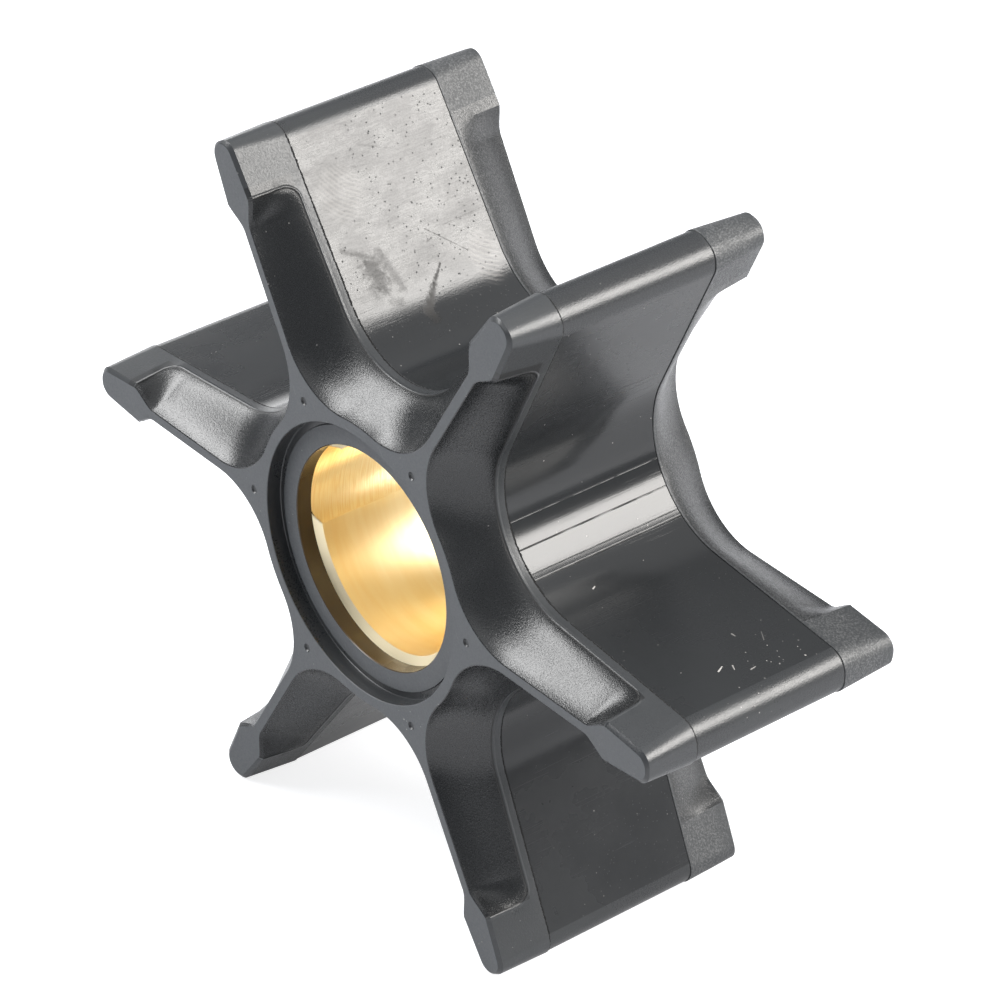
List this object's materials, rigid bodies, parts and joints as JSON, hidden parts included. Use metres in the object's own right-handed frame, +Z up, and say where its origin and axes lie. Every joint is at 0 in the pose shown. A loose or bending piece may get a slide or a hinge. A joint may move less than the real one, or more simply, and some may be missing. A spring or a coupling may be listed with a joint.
{
  "type": "pump impeller",
  "caption": "Flexible rubber vane wheel moulded on a slotted brass hub insert, for a small water pump.",
  "frame": {"origin": "on the bore axis at mid length, the centre of the part's box", "axes": "+Y along the bore axis; the pictured end face looks towards -Y; +Z up, with the part standing on two vane tips"},
  "size_m": [0.066, 0.0236, 0.0578],
  "materials": {
    "vane_rubber": "satin moulded and ground rubber",
    "insert_brass": "turned, bright"
  },
  "bodies": {
    "root": {"rubber_vane_wheel": "vane_rubber", "brass_hub_insert": "insert_brass"}
  },
  "joints": []
}
